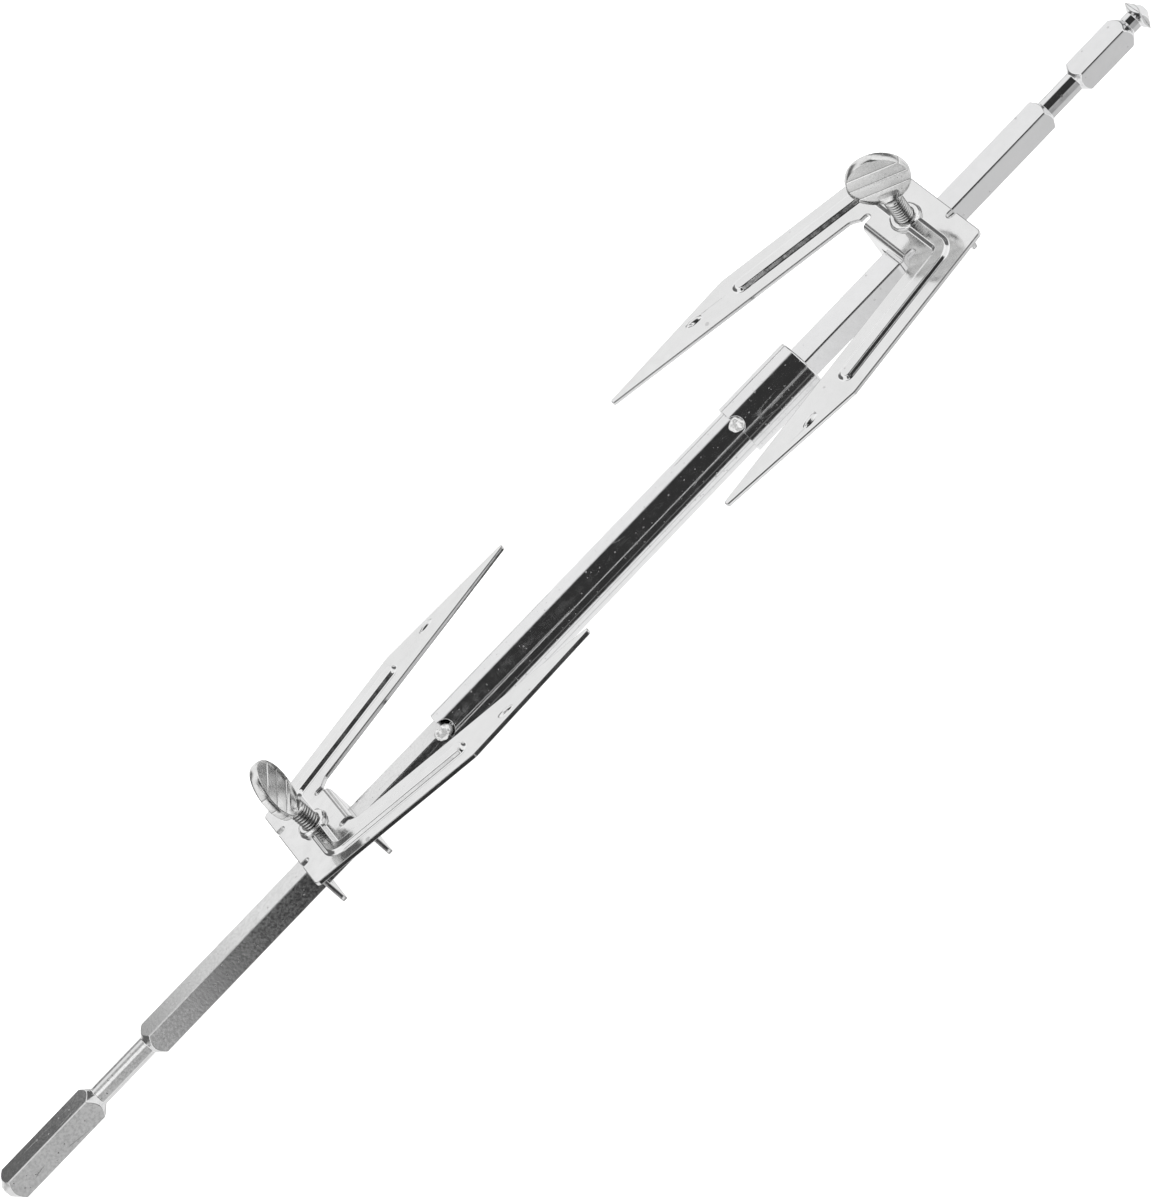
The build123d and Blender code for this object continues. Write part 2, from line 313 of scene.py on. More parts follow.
def fill_grain(tree, ins):
    """Fine lines drawn out along the rod."""
    shorten = calc(tree, "DIVIDE", 1.0, ins["Stretch"])
    squeeze = wire(tree, "ShaderNodeCombineXYZ", {"X": shorten, "Y": 1.0, "Z": 1.0})
    along = wire(
        tree, "ShaderNodeVectorMath", {0: ins["Position"], 1: squeeze.outputs[0]}, operation="MULTIPLY",
    )
    look = {"Scale": per_size(tree, ins["Size"]), "Detail": 4.0, "Roughness": 0.65}
    return wire(tree, "ShaderNodeTexNoise", {"Vector": along.outputs[0], **look}).outputs[0]


def fill_specks(tree, ins):
    """Small round spots in a share of the cells."""
    smallest, spread, soft_edge = 0.12, 0.22, 0.08
    cells = wire(
        tree, "ShaderNodeTexVoronoi", {"Vector": ins["Position"], "Scale": per_size(tree, ins["Size"])},
    )
    chosen = wire(tree, "ShaderNodeSeparateColor", {"Color": cells.outputs["Color"]})
    kept = calc(tree, "LESS_THAN", chosen.outputs[0], ins["Share"])
    reach = calc(tree, "MULTIPLY", chosen.outputs[1], spread)
    dot = calc(tree, "SUBTRACT", calc(tree, "ADD", reach, smallest), cells.outputs["Distance"])
    return calc(tree, "MULTIPLY", ramp(tree, dot, 0.0, soft_edge), kept)


def fill_scratches(tree, ins):
    """Hairlines along the middle level of a stretched noise, kept only in patches."""
    lean, stretch = (0.35, 0.5, 0.6), (0.12, 1.0, 1.0)
    hair_core, hair_edge = 0.002, 0.008
    turned = wire(
        tree, "ShaderNodeMapping", {"Vector": ins["Position"], "Rotation": lean, "Scale": stretch},
    )
    scale = per_size(tree, ins["Size"])
    field = wire(
        tree, "ShaderNodeTexNoise", {"Vector": turned.outputs[0], "Scale": scale, "Detail": 1.0},
    )
    apart = calc(tree, "ABSOLUTE", calc(tree, "SUBTRACT", field.outputs[0], 0.5))
    line = calc(tree, "SUBTRACT", 1.0, ramp(tree, apart, hair_core, hair_edge))
    coarse = calc(tree, "MULTIPLY", scale, 0.8)
    patches = wire(
        tree, "ShaderNodeTexNoise", {"Vector": ins["Position"], "Scale": coarse, "Detail": 1.0},
    )
    kept = ramp(tree, patches.outputs[0], calc(tree, "SUBTRACT", 0.62, ins["Share"]), 0.72)
    return calc(tree, "MULTIPLY", line, kept)


def build_groups():
    """The shared surface effects."""
    place = ("Position", "NodeSocketVector", None)
    size = ("Size", "NodeSocketFloat", 1.0)
    share = ("Share", "NodeSocketFloat", 0.1)
    low_high = [("Low", "NodeSocketFloat", 0.0), ("High", "NodeSocketFloat", 1.0)]
    return {
        "clouds": group_of("plating_clouds", [place, size, *low_high], fill_clouds),
        "grain": group_of("drawn_grain", [place, size, ("Stretch", "NodeSocketFloat", 10.0)], fill_grain),
        "specks": group_of("small_specks", [place, size, share], fill_specks),
        "scratches": group_of("hairline_scratches", [place, size, share], fill_scratches),
    }


def colour_mix(tree, share, first, second):
    """Second colour over the first by share."""
    made = wire(tree, "ShaderNodeMix", data_type="RGBA")
    for socket, value in zip((made.inputs[0], made.inputs[6], made.inputs[7]), (share, first, second)):
        if isinstance(value, bpy.types.NodeSocket):
            tree.links.new(value, socket)
        else:
            socket.default_value = value
    return made.outputs[2]


def shade_of(tone, factor):
    """The tone made lighter or darker, as a colour with alpha."""
    return (*[min(1.0, c * factor) for c in tone], 1.0)


# how a plated steel's tone changes where it is mottled, dirty, bright from wear or given a painted highlight,
# and where shade is painted
MOTTLE_SHADE, DIRT_SHADE, WEAR_AND_HIGHLIGHT_TONE, PAINTED_SHADE_TONE = 0.62, 0.3, 1.12, 0.22
WEAR_AND_HIGHLIGHT_SHARE = 0.5
SCRATCH_ROUGH, SPECK_ROUGH, PAINTED_SHADE_ROUGH = 0.16, 0.2, 0.2


def plated_finish(name, tone, look):
    """A plated steel: clouded tone and gloss, drawn grain, specks, hairlines, edges brightened by wear,
    painted highlights and painted shade.
    """
    groups = build_groups()
    material = bpy.data.materials.new(name)
    material.use_nodes = True
    tree = material.node_tree
    surface = tree.nodes["Principled BSDF"]
    surface.inputs["Metallic"].default_value = look["metal"]
    place = wire(tree, "ShaderNodeTexCoord").outputs["Object"]

    def effect(kind, **values):
        return use_group(tree, groups[kind], Position=place, **values)

    clouds = effect("clouds", Size=look["cloud_size"], Low=0.0, High=1.0)
    fine_clouds = effect("clouds", Size=look["mottle_size"], Low=0.0, High=1.0)
    grain = effect("grain", Size=look["grain_size"], Stretch=look["grain_stretch"])
    specks = effect("specks", Size=look["speck_size"], Share=look["speck_share"])
    scratches = effect("scratches", Size=look["scratch_size"], Share=look["scratch_share"])
    wear_and_highlight = wire(tree, "ShaderNodeAttribute", attribute_name=WEAR_AND_HIGHLIGHT).outputs["Fac"]
    painted_shade = wire(tree, "ShaderNodeAttribute", attribute_name=PAINTED_SHADE).outputs["Fac"]

    colour = colour_mix(tree, clouds, shade_of(tone, 1.0), shade_of(tone, look["cloud_shade"]))
    for share, shade in (
        (calc(tree, "MULTIPLY", fine_clouds, look["mottle"]), MOTTLE_SHADE),
        (calc(tree, "MULTIPLY", specks, look["speck_dirt"]), DIRT_SHADE),
        # worn bevels, plus painted highlights on the thread crests and the head bands' edge lines, lighten
        # the tone
        (calc(tree, "MULTIPLY", wear_and_highlight, WEAR_AND_HIGHLIGHT_SHARE), WEAR_AND_HIGHLIGHT_TONE),
        # painted shade: darkens the tone on the forks' cut edges and undersides, thread grooves, screw
        # shoulders and head bands
        (painted_shade, PAINTED_SHADE_TONE),
    ):
        colour = colour_mix(tree, share, colour, shade_of(tone, shade))
    tree.links.new(colour, surface.inputs["Base Color"])

    low, high = look["rough"]
    rough = ramp(tree, fine_clouds, 0.0, 1.0, low, high)
    for mask, amount in ((scratches, SCRATCH_ROUGH), (specks, SPECK_ROUGH), (painted_shade, PAINTED_SHADE_ROUGH)):
        rough = calc(tree, "ADD", rough, calc(tree, "MULTIPLY", mask, amount))
    tree.links.new(rough, surface.inputs["Roughness"])

    normal = None
    for height, depth in (
        (fine_clouds, look["ripple_depth"]),
        (grain, look["grain_depth"]),
        (calc(tree, "SUBTRACT", 1.0, specks), look["speck_depth"]),
        (calc(tree, "SUBTRACT", 1.0, scratches), look["scratch_depth"]),
    ):
        inputs = {"Height": height, "Distance": depth * MM, "Strength": 1.0}
        if normal is not None:
            inputs["Normal"] = normal
        normal = wire(tree, "ShaderNodeBump", inputs).outputs[0]
    tree.links.new(normal, surface.inputs["Normal"])
    return material


# sizes and depths are in millimetres
BRIGHT_LOOK = {
    "metal": 1.0, "rough": (0.07, 0.13),
    "cloud_size": 34.0, "cloud_shade": 0.95, "mottle_size": 2.4, "mottle": 0.06,
    "grain_size": 0.35, "grain_stretch": 40.0, "grain_depth": 0.0012, "ripple_depth": 0.004,
    "speck_size": 1.7, "speck_share": 0.07, "speck_dirt": 0.25, "speck_depth": 0.01,
    "scratch_size": 7.0, "scratch_share": 0.10, "scratch_depth": 0.006,
}
TUBE_LOOK = {
    **BRIGHT_LOOK, "ripple_depth": 0.005,
    "speck_size": 0.9, "speck_share": 0.16, "speck_depth": 0.012,
}
SATIN_LOOK = {
    **BRIGHT_LOOK, "rough": (0.08, 0.15),
    "cloud_size": 16.0, "cloud_shade": 0.92, "mottle_size": 0.9, "mottle": 0.12,
    "grain_size": 0.3, "grain_stretch": 14.0, "grain_depth": 0.0025, "ripple_depth": 0.0025,
    "speck_size": 1.0, "speck_share": 0.1, "speck_dirt": 0.18, "speck_depth": 0.02,
}
SHEET_LOOK = {
    **BRIGHT_LOOK, "rough": (0.08, 0.14), "cloud_size": 22.0, "mottle_size": 3.0,
    "grain_size": 0.5, "grain_stretch": 9.0, "grain_depth": 0.0016, "ripple_depth": 0.008,
    "speck_size": 2.6, "speck_share": 0.035,
}
ZINC_LOOK = {
    **BRIGHT_LOOK, "rough": (0.16, 0.26),
    "cloud_size": 5.0, "cloud_shade": 0.9, "mottle_size": 0.8, "mottle": 0.12,
    "grain_size": 0.4, "grain_stretch": 3.0, "grain_depth": 0.0015, "ripple_depth": 0.003,
    "speck_size": 1.0, "speck_share": 0.08, "scratch_size": 3.0,
}
WELD_LOOK = {
    **ZINC_LOOK, "metal": 0.5, "rough": (0.12, 0.24), "mottle_size": 1.6, "mottle": 0.05,
    "ripple_depth": 0.006, "speck_size": 0.7, "speck_share": 0.06, "speck_dirt": 0.5, "speck_depth": 0.012,
}
OILED_LOOK = {**SATIN_LOOK, "rough": (0.24, 0.36), "speck_share": 0.05}


def finish_for(name):
    """One of the spit's finishes by its material's name, made once."""
    if name in bpy.data.materials:
        return bpy.data.materials[name]
    tones = bpy.context.scene.spit_finish
    recipes = {
        "spit_drive_steel": (tones.nickel_tone, SATIN_LOOK),
        "spit_bright_steel": (tones.chrome_tone, BRIGHT_LOOK),
        "spit_tube_steel": (tones.chrome_tone, TUBE_LOOK),
        "spit_fork_sheet": (tones.sheet_tone, SHEET_LOOK),
        "spit_screw_steel": (tones.zinc_tone, ZINC_LOOK),
        "spit_weld_metal": (tones.weld_tone, WELD_LOOK),
        "spit_inner_steel": (tones.inner_tone, OILED_LOOK),
    }
    tone, look = recipes[name]
    return plated_finish(name, tuple(tone), look)


# ---------------------------------------------------------------- mesh helpers


def merged_copy(node, crumb=WELD_TOGETHER):
    """The node's mesh as one welded skin: flats joined, edges shorter than a crumb taken out."""
    bm = bmesh.new()
    bm.from_mesh(frame["nodes"][node].data)
    bmesh.ops.remove_doubles(bm, verts=bm.verts, dist=WELD_TOGETHER)
    bmesh.ops.dissolve_degenerate(bm, dist=WELD_TOGETHER, edges=bm.edges)
    bmesh.ops.dissolve_limit(bm, angle_limit=FLAT_ANGLE, verts=bm.verts, edges=bm.edges)
    bmesh.ops.remove_doubles(bm, verts=bm.verts, dist=crumb)
    return bm


def float_layer(bm, name):
    """A value for each face corner, read by the materials."""
    return bm.loops.layers.float.get(name) or bm.loops.layers.float.new(name)


def round_edges(bm, low, high, width, segments):
    """Rounds the edges whose faces meet between two angles in degrees; the new faces are lightened as edge
    wear.
    """
    layer = float_layer(bm, WEAR_AND_HIGHLIGHT)
    chosen = [
        e for e in bm.edges
        if len(e.link_faces) == 2 and math.radians(low) < e.calc_face_angle(0.0) < math.radians(high)
    ]
    skin = BVHTree.FromBMesh(bm)
    made = bmesh.ops.bevel(
        bm, geom=chosen, offset=width, offset_type="OFFSET", segments=segments, profile=0.5,
        affect="EDGES", clamp_overlap=False, material=-1,
    )
    for face in made["faces"]:
        for loop in face.loops:
            loop[layer] = 1.0
    for vert in made["verts"]:
        nearest, _normal, _index, gap = skin.find_nearest(vert.co)
        if gap > STRAY * width:
            vert.co = nearest
    return made["faces"]


def place_piece(bm, name, body, material, replaced):
    """Turns a finished mesh into a piece that rides on a body and stands for CAD nodes."""
    for face in bm.faces:
        face.smooth = True
    mesh = bpy.data.meshes.new(name)
    bm.to_mesh(mesh)
    bm.free()
    for stale in ("custom_normal", "sharp_edge", "sharp_face"):
        if stale in mesh.attributes:
            mesh.attributes.remove(mesh.attributes[stale])
    mesh.set_sharp_from_angle(angle=SOFT_ANGLE)
    mesh.materials.clear()
    mesh.materials.append(material)
    piece = bpy.data.objects.new(name, mesh)
    bpy.context.scene.collection.objects.link(piece)
    weighted = piece.modifiers.new("even_flats", "WEIGHTED_NORMAL")
    weighted.keep_sharp = True
    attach(piece, body)
    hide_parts(replaced)
    return piece


def outward(bm):
    """Merges doubles and turns every face outwards."""
    bmesh.ops.remove_doubles(bm, verts=bm.verts, dist=WELD_TOGETHER)
    bmesh.ops.recalc_face_normals(bm, faces=bm.faces)


# ---------------------------------------------------------------- bars, tube and collar


class SPIT_OT_rod(bpy.types.Operator):
    """Finish the two bars, the tube and the collar, and the bush and sleeve inside them"""

    bl_idname = "spit.rod"
    bl_label = "Rod"

    def execute(self, context):
        edges = context.scene.spit_edges
        pieces = (
            ("drive_bar", "drive_bar_turned", "drive_rod", "spit_drive_steel", "drive_steel"),
            ("slide_bar", "slide_bar_turned", "slide_rod", "spit_bright_steel", "bright_steel"),
            ("extension_tube", "extension_tube_drawn", "drive_rod", "spit_tube_steel", "bright_steel"),
            ("collar", "collar_rolled", "drive_rod", "spit_tube_steel", "bright_steel"),
        )
        for node, name, body, material, slot in pieces:
            bm = merged_copy(node)
            round_edges(bm, 25, 180, edges.turned_edge, 2)
            place_piece(bm, name, body, finish_for(material), node)
        for node in ("guide_bush", "stop_sleeve"):
            frame["nodes"][node].material_slots[0].material = finish_for("spit_inner_steel")
        return {"FINISHED"}


# ---------------------------------------------------------------- forks


def shade_cut_edges(bm, node, rounded):
    """Paints shade on the sheared edges and undersides: a little along the prongs, more on their rounded
    edges, most on the tabs below the plate and on faces turned down.
    """
    tab_shade, underside_shadow, rounded_shade, side_shade = 0.85, 0.8, 0.45, 0.08
    tab_reach, tab_top = 10 * MM, 8.5 * MM
    lean = math.radians(16) if node == "drive_fork" else 0.0
    level = Matrix.Rotation(lean, 3, "X")
    layer = float_layer(bm, PAINTED_SHADE)
    for face in bm.faces:
        normal = level @ face.normal
        middle = level @ face.calc_center_median()
        on_side = abs(normal.z) < 0.35 and abs(normal.y) > 0.5
        facing_down = normal.z < -0.35 and abs(normal.y) > 0.35
        amount = 0.0
        if on_side and abs(middle.y) < tab_reach and middle.z < tab_top:
            amount = tab_shade
        elif facing_down:
            amount = underside_shadow
        elif face in rounded:
            amount = rounded_shade
        elif on_side:
            amount = side_shade
        for loop in face.loops:
            loop[layer] = amount


class SPIT_OT_forks(bpy.types.Operator):
    """Press the two forks: rounded ribs, sheared edges and folded tabs"""

    bl_idname = "spit.forks"
    bl_label = "Forks"

    def execute(self, context):
        edges = context.scene.spit_edges
        for node, name in (("drive_fork", "drive_fork_pressed"), ("handle_fork", "handle_fork_pressed")):
            bm = merged_copy(node, CRUMB)
            round_edges(bm, 38, 62, edges.rib_edge, 3)
            rounded = set(round_edges(bm, 70, 100, edges.sheet_edge, 3))
            shade_cut_edges(bm, node, rounded)
            place_piece(bm, name, node, finish_for("spit_fork_sheet"), node)
        return {"FINISHED"}


# ---------------------------------------------------------------- thumbscrews


def joint_named(name):
    """The record's joint of that name."""
    return next(j for j in frame["joints"] if j["name"] == name)


def stand_of(joint, fork):
    """Where a screw stands: its own Z up the joint's axis, its X along the fork's prongs."""
    place = Vector(joint["pos_m"])
    up = Vector(joint["axis"]).normalized()
    low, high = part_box(fork)
    reach = Vector((math.copysign(1.0, (low.x + high.x) / 2 - place.x), 0, 0))
    along = (reach - up * reach.dot(up)).normalized()
    across = up.cross(along)
    stand = Matrix((along, across, up)).transposed().to_4x4()
    stand.translation = place
    return stand


def shade_faces(bm, faces, name, amount):
    """Gives every corner of the faces one value of a layer."""
    layer = float_layer(bm, name)
    for face in faces:
        for loop in face.loops:
            loop[layer] = amount


def add_thread(bm, screw):
    """A right-hand thread: one tooth's outline, spun up the helix."""
    pitch, root, crest = screw.pitch, screw.root, screw.crest
    flank = crest - 0.06 * MM
    tooth = (
        (root, 0.0), (root, 0.14), (flank, 0.44), (crest, 0.5), (flank, 0.56), (root, 0.86), (root, 1.0),
    )
    start = 0.3 * MM
    verts = [bm.verts.new((r, 0, start + z * pitch)) for r, z in tooth]
    edges = [bm.edges.new(pair) for pair in zip(verts, verts[1:])]
    steps = 40
    bmesh.ops.spin(
        bm, geom=verts + edges, cent=(0, 0, 0), axis=(0, 0, 1), dvec=(0, 0, pitch / steps),
        angle=math.tau * screw.turns, steps=steps * screw.turns, use_merge=False, use_duplicate=False,
    )
    bmesh.ops.remove_doubles(bm, verts=bm.verts, dist=WELD_TOGETHER)
    ends = [e for e in bm.edges if e.is_boundary]
    caps = bmesh.ops.holes_fill(bm, edges=ends, sides=0)
    bmesh.ops.triangulate(bm, faces=caps["faces"])
    # painted shade in the grooves and lower flanks, a little on the crests, and a painted highlight along the
    # crests
    groove_height, groove_shade, crest_shade = 0.6, 1.0, 0.2
    painted_shade, wear_and_highlight = float_layer(bm, PAINTED_SHADE), float_layer(bm, WEAR_AND_HIGHLIGHT)
    for face in bm.faces:
        for loop in face.loops:
            height = (math.hypot(loop.vert.co.x, loop.vert.co.y) - root) / (crest - root)
            loop[painted_shade] = groove_shade if height < groove_height else crest_shade
            loop[wear_and_highlight] = max(0.0, 3 * height - 2)


def add_point(bm, screw):
    """The plain dog point below the thread."""
    length, end_radius = 0.9 * MM, 1.7 * MM
    bmesh.ops.create_cone(
        bm, cap_ends=True, segments=40, radius1=end_radius, radius2=screw.root, depth=length,
        matrix=Matrix.Translation((0, 0, length / 2)),
    )


def grow_rings(bm, edges, rings):
    """Extrudes an open rim once for each ring; a ring is (x factor, y factor, rise)."""
    for x_factor, y_factor, rise in rings:
        made = bmesh.ops.extrude_edge_only(bm, edges=edges)["geom"]
        verts = [g for g in made if isinstance(g, bmesh.types.BMVert)]
        edges = [g for g in made if isinstance(g, bmesh.types.BMEdge)]
        bmesh.ops.scale(bm, vec=(x_factor, y_factor, 1), verts=verts)
        bmesh.ops.translate(bm, vec=(0, 0, rise), verts=verts)
    return edges


def add_shoulder(bm, screw):
    """The forged blend from the round shank into the flat head."""
    overlap, shade = 1.2, 0.3
    ring = bmesh.ops.create_circle(
        bm, cap_ends=False, segments=40, radius=screw.root,
        matrix=Matrix.Translation((0, 0, (screw.turns - overlap) * screw.pitch)),
    )
    edges = list({e for v in ring["verts"] for e in v.link_edges})
    bottom = bmesh.ops.edgeloop_fill(bm, edges=edges)
    # factors along and across the head, then the rise in millimetres
    steps = (
        (1.2, 1.2, 0.35), (1.05, 0.94, 0.5), (1.10, 0.84, 0.6),
        (1.14, 0.80, 0.7), (1.18, 0.82, 0.9), (1.1, 0.86, 1.2),
    )
    last = grow_rings(bm, edges, [(x, y, rise * MM) for x, y, rise in steps])
    top = bmesh.ops.edgeloop_fill(bm, edges=last)
    rim = {f for e in last for v in e.verts for f in v.link_faces}
    # painted shade where the shoulder meets the head and on its two end caps
    shade_faces(bm, rim | set(bottom["faces"]) | set(top["faces"]), PAINTED_SHADE, shade)


HEAD_STRIP = 0.34 * MM      # width of the raised strip at each band's edge, which carries a painted highlight line
HEAD_LOW_LINE = -0.4 * MM   # where the middle band starts


def cut_bands(side, screw):
    """Cuts one face of the head along its grip bands and raises each band's edge."""
    floor = screw.head_thick / 2 - screw.dish
    for step in range(-1, 2):
        for offset in (0.0, HEAD_STRIP, 2 * HEAD_STRIP, 6 * HEAD_STRIP):
            bmesh.ops.bisect_plane(
                side, geom=side.verts[:] + side.edges[:] + side.faces[:], dist=1e-7,
                plane_co=(0, step * screw.band + HEAD_LOW_LINE + offset, 0), plane_no=(0, 1, 0),
            )
    share = HEAD_STRIP / screw.band
    on_line = 1e-4
    for vert in side.verts:
        part = (vert.co.y - HEAD_LOW_LINE) / screw.band
        within = part - math.floor(part + on_line)
        climb = within / share if within < share + on_line else (1 - within) / (1 - share)
        vert.co.z = floor + screw.band_step * (0.5 - min(1.0, climb))


def shade_bands(side, screw):
    """A painted highlight line at each band's edge, a painted dark line beside it, and painted shade that
    fades across the band.
    """
    line_shade, band_shade, fade = 0.6, 0.24, 1.2
    share = HEAD_STRIP / screw.band
    painted_shade, wear_and_highlight = float_layer(side, PAINTED_SHADE), float_layer(side, WEAR_AND_HIGHLIGHT)
    for face in side.faces:
        middle = (face.calc_center_median().y - HEAD_LOW_LINE) / screw.band
        band = math.floor(middle)
        for loop in face.loops:
            within = (loop.vert.co.y - HEAD_LOW_LINE) / screw.band - band
            if middle - band < share:
                loop[wear_and_highlight] = 1.0
            elif middle - band < 2 * share:
                loop[painted_shade] = line_shade
            else:
                loop[painted_shade] = band_shade * max(0.0, 1 - within) ** fade


def grow_rim(side, screw, rim, inner):
    """Turns the dished face's border up into the rounded rim, down to the head's middle."""
    lip, rounding = 0.12 * MM, 0.42 * MM
    half = screw.head_thick / 2
    made = bmesh.ops.extrude_edge_only(side, edges=rim)["geom"]
    verts = [g for g in made if isinstance(g, bmesh.types.BMVert)]
    edges = [g for g in made if isinstance(g, bmesh.types.BMEdge)]
    grow = (inner + lip) / inner
    bmesh.ops.scale(side, vec=(grow, grow, 1), verts=verts)
    for vert in verts:
        vert.co.z = half - lip
    radius, height = inner + lip, half - lip
    for angle in (math.radians(a) for a in (15, 35, 55, 75, 90)):
        next_radius = screw.head_radius - rounding * (1 - math.sin(angle))
        next_height = half * math.cos(angle)
        factor = next_radius / radius
        edges = grow_rings(side, edges, [(factor, factor, next_height - height)])
        radius, height = next_radius, next_height


def add_head(bm, screw):
    """The flat round head: rim, dished faces and stepped grip bands, one side and its mirror image."""
    inner = screw.head_radius - screw.rim
    side = bmesh.new()
    bmesh.ops.create_circle(side, cap_ends=True, segments=112, radius=inner)
    cut_bands(side, screw)
    rim = [e for e in side.edges if e.is_boundary]
    shade_bands(side, screw)
    grow_rim(side, screw, rim, inner)
    everything = side.verts[:] + side.edges[:] + side.faces[:]
    bmesh.ops.mirror(side, geom=everything, axis="Z", merge_dist=WELD_TOGETHER)
    outward(side)
    upright = Matrix.Rotation(math.radians(90), 4, "X")
    stand = Matrix.Translation((0, 0, screw.head_height)) @ upright
    bmesh.ops.transform(side, matrix=stand, verts=side.verts)
    joined = bpy.data.meshes.new("head_part")
    side.to_mesh(joined)
    side.free()
    bm.from_mesh(joined)
    bpy.data.meshes.remove(joined)


def thumbscrew_mesh(screw):
    """One thumbscrew standing on the origin, its head's faces square to Y."""
    bm = bmesh.new()
    add_thread(bm, screw)
    add_point(bm, screw)
    add_shoulder(bm, screw)
    add_head(bm, screw)
    bmesh.ops.recalc_face_normals(bm, faces=bm.faces)
    return bm


class SPIT_OT_thumbscrews(bpy.types.Operator):
    """Cut both thumbscrews: helical thread, forged shoulder and banded head"""

    bl_idname = "spit.thumbscrews"
    bl_label = "Thumbscrews"

    def execute(self, context):
        screw = context.scene.spit_screws
        for side, turn in (("drive", screw.drive_turn), ("handle", screw.handle_turn)):
            node = f"{side}_thumbscrew"
            stand = stand_of(joint_named(f"{side}_screw_turn"), f"{side}_fork")
            into = stand.inverted()
            tip = min((into @ v.co).z for v in frame["nodes"][node].data.vertices)
            bm = thumbscrew_mesh(screw)
            place = stand @ Matrix.Translation((0, 0, tip)) @ Matrix.Rotation(turn, 4, "Z")
            bmesh.ops.transform(bm, matrix=place, verts=bm.verts)
            finish = finish_for("spit_screw_steel")
            place_piece(bm, f"{node}_turned", f"{side}_screw", finish, node)
        return {"FINISHED"}


# ---------------------------------------------------------------- welds and spring


def lump_bead(bm, weld, seed):
    """Raises a bead's lumps and its fine ripples."""
    ripple_height, ripple_length = 0.05 * MM, 0.5 * MM
    for vert in bm.verts:
        lump = noise.fractal(vert.co / weld.lump_size + Vector((seed, 0, 0)), 0.9, 2.0, 2)
        ripple = math.sin(vert.co.x / ripple_length + 1.5 * lump)
        vert.co += vert.normal * (weld.lumps * lump + ripple_height * ripple)


class SPIT_OT_welds(bpy.types.Operator):
    """Lay the two tack-weld beads in their notches"""

    bl_idname = "spit.welds"
    bl_label = "Welds"

    def execute(self, context):
        weld = context.scene.spit_welds
        along = Vector((1, 0, 0))
        sunk = 0.36     # share of the weld's height that the bead's centre is above its foot
        for node, seed in (("tube_weld", 3.0), ("collar_weld", 8.0)):
            low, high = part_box(node)
            centre = (low + high) / 2
            out = Vector((0, centre.y, centre.z)).normalized()
            side = out.cross(along)
            heights = [v.co.dot(out) for v in frame["nodes"][node].data.vertices]
            widths = [v.co.dot(side) for v in frame["nodes"][node].data.vertices]
            tall = max(heights) - min(heights)
            bm = bmesh.new()
            bmesh.ops.create_icosphere(bm, subdivisions=5, radius=1.0)
            size = (0.5 * (high.x - low.x), 0.5 * (max(widths) - min(widths)), 0.62 * tall)
            bmesh.ops.scale(bm, vec=size, verts=bm.verts)
            lump_bead(bm, weld, seed)
            stand = Matrix((along, side, out)).transposed().to_4x4()
            stand.translation = Vector((centre.x, 0, 0)) + out * (min(heights) + sunk * tall)
            bmesh.ops.transform(bm, matrix=stand, verts=bm.verts)
            bmesh.ops.recalc_face_normals(bm, faces=bm.faces)
            place_piece(bm, f"{node}_bead", "drive_rod", finish_for("spit_weld_metal"), node)
        return {"FINISHED"}


class SPIT_OT_spring(bpy.types.Operator):
    """Wind the return spring that the sliding bar presses on inside the tube"""

    bl_idname = "spit.spring"
    bl_label = "Spring"

    def execute(self, context):
        spring = context.scene.spit_spring
        low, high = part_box("return_spring")
        radius = (high.z - low.z) / 2 - spring.wire
        steps = spring.coils * spring.facets
        length = high.x - low.x - 2 * spring.wire
        lean = math.atan2(length / spring.coils, math.tau * radius)
        bm = bmesh.new()
        quarter = math.radians(90)
        place = Matrix.Translation((low.x + spring.wire, 0, radius))
        section = place @ Matrix.Rotation(quarter + lean, 4, "Z") @ Matrix.Rotation(quarter, 4, "Y")
        ring = bmesh.ops.create_circle(bm, cap_ends=True, segments=10, radius=spring.wire, matrix=section)
        face = ring["verts"][0].link_faces[0]
        bmesh.ops.spin(
            bm, geom=[face, *face.edges, *face.verts], cent=(low.x, 0, 0), axis=(1, 0, 0),
            dvec=(length / steps, 0, 0), angle=math.tau * spring.coils, steps=steps, use_merge=False,
        )
        outward(bm)
        finish = finish_for("spit_inner_steel")
        piece = place_piece(bm, "return_spring_wound", "drive_rod", finish, "return_spring")
        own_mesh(piece)
        return {"FINISHED"}


# ---------------------------------------------------------------- stage


ROD_MIDDLE = 0.238      # along X


def make_floor(stage):
    """A wide pale floor just below the object, which the steel doesn't mirror."""
    half_width, gap = 4.0, 0.3 * MM
    low, _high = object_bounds()
    bm = bmesh.new()
    bmesh.ops.create_grid(bm, x_segments=1, y_segments=1, size=half_width)
    bmesh.ops.translate(bm, vec=(ROD_MIDDLE, 0, low.z - gap), verts=bm.verts)
    mesh = bpy.data.meshes.new("floor")
    bm.to_mesh(mesh)
    bm.free()
    floor = bpy.data.objects.new("floor", mesh)
    bpy.context.scene.collection.objects.link(floor)
    material = bpy.data.materials.new("pale_floor")
    material.use_nodes = True
    surface = material.node_tree.nodes["Principled BSDF"]
    surface.inputs["Base Color"].default_value = (stage.floor_tone,) * 3 + (1.0,)
    surface.inputs["Roughness"].default_value = 0.9
    surface.inputs["Specular IOR Level"].default_value = 0.0
    surface.inputs["Emission Color"].default_value = (1, 1, 1, 1)
    surface.inputs["Emission Strength"].default_value = stage.floor_glow
    mesh.materials.append(material)
    floor.visible_glossy = False
    floor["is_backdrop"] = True


def product(tree, *values):
    """All the values multiplied."""
    made = values[0]
    for value in values[1:]:
        made = calc(tree, "MULTIPLY", made, value)
    return made


def largest(tree, *values):
    """The largest of the values."""
    made = values[0]
    for value in values[1:]:
        made = calc(tree, "MAXIMUM", made, value)
    return made


def between(tree, value, rise, fall):
    """One between two soft edges: it comes up over rise and goes down over fall."""
    return product(tree, ramp(tree, value, *rise), ramp(tree, value, *fall))


